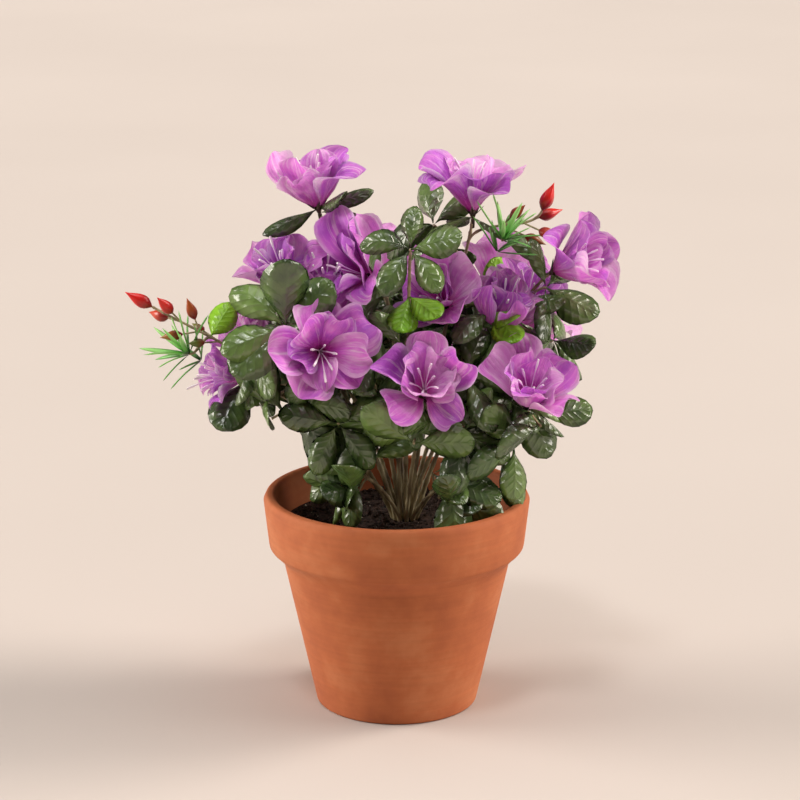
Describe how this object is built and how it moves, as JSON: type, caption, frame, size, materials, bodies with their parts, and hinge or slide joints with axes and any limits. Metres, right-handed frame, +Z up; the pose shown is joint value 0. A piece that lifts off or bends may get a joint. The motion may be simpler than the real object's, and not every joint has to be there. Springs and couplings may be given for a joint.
{
  "type": "artificial azalea shrub",
  "caption": "Artificial azalea bush with violet double blooms and dark green leaves on wire stems, set in soil in a tapered clay flowerpot.",
  "frame": {"origin": "centre of the pot's flat underside", "axes": "+Z up along the pot's axis, +X to the right and -Y towards the side the plant is seen from"},
  "size_m": [0.2858, 0.2138, 0.3365],
  "materials": {
    "clay": "matte unglazed",
    "soil": "rough crumbs",
    "stem": "satin",
    "leafy": "printed and coated"
  },
  "bodies": {
    "root": {"pot": "clay", "soil": "soil", "stem_right": "stem", "spray_right": "leafy", "stem_right_back": "stem", "spray_right_back": "leafy", "stem_back_right": "stem", "spray_back_right": "leafy", "stem_back": "stem", "spray_back": "leafy", "stem_back_left": "stem", "spray_back_left": "leafy", "stem_left": "stem", "spray_left": "leafy", "stem_bud_left": "stem", "spray_bud_left": "leafy", "stem_front_left": "stem", "spray_front_left": "leafy", "stem_low_left": "stem", "spray_low_left": "leafy", "stem_front": "stem", "spray_front": "leafy", "stem_low_right": "stem", "spray_low_right": "leafy", "stem_front_right": "stem", "spray_front_right": "leafy", "stem_centre_right": "stem", "spray_centre_right": "leafy", "stem_upper_right": "stem", "spray_upper_right": "leafy", "stem_upper_back": "stem", "spray_upper_back": "leafy", "stem_upper_left": "stem", "spray_upper_left": "leafy", "stem_heart": "stem", "spray_heart": "leafy", "stem_upper_front": "stem", "spray_upper_front": "leafy"}
  },
  "joints": []
}
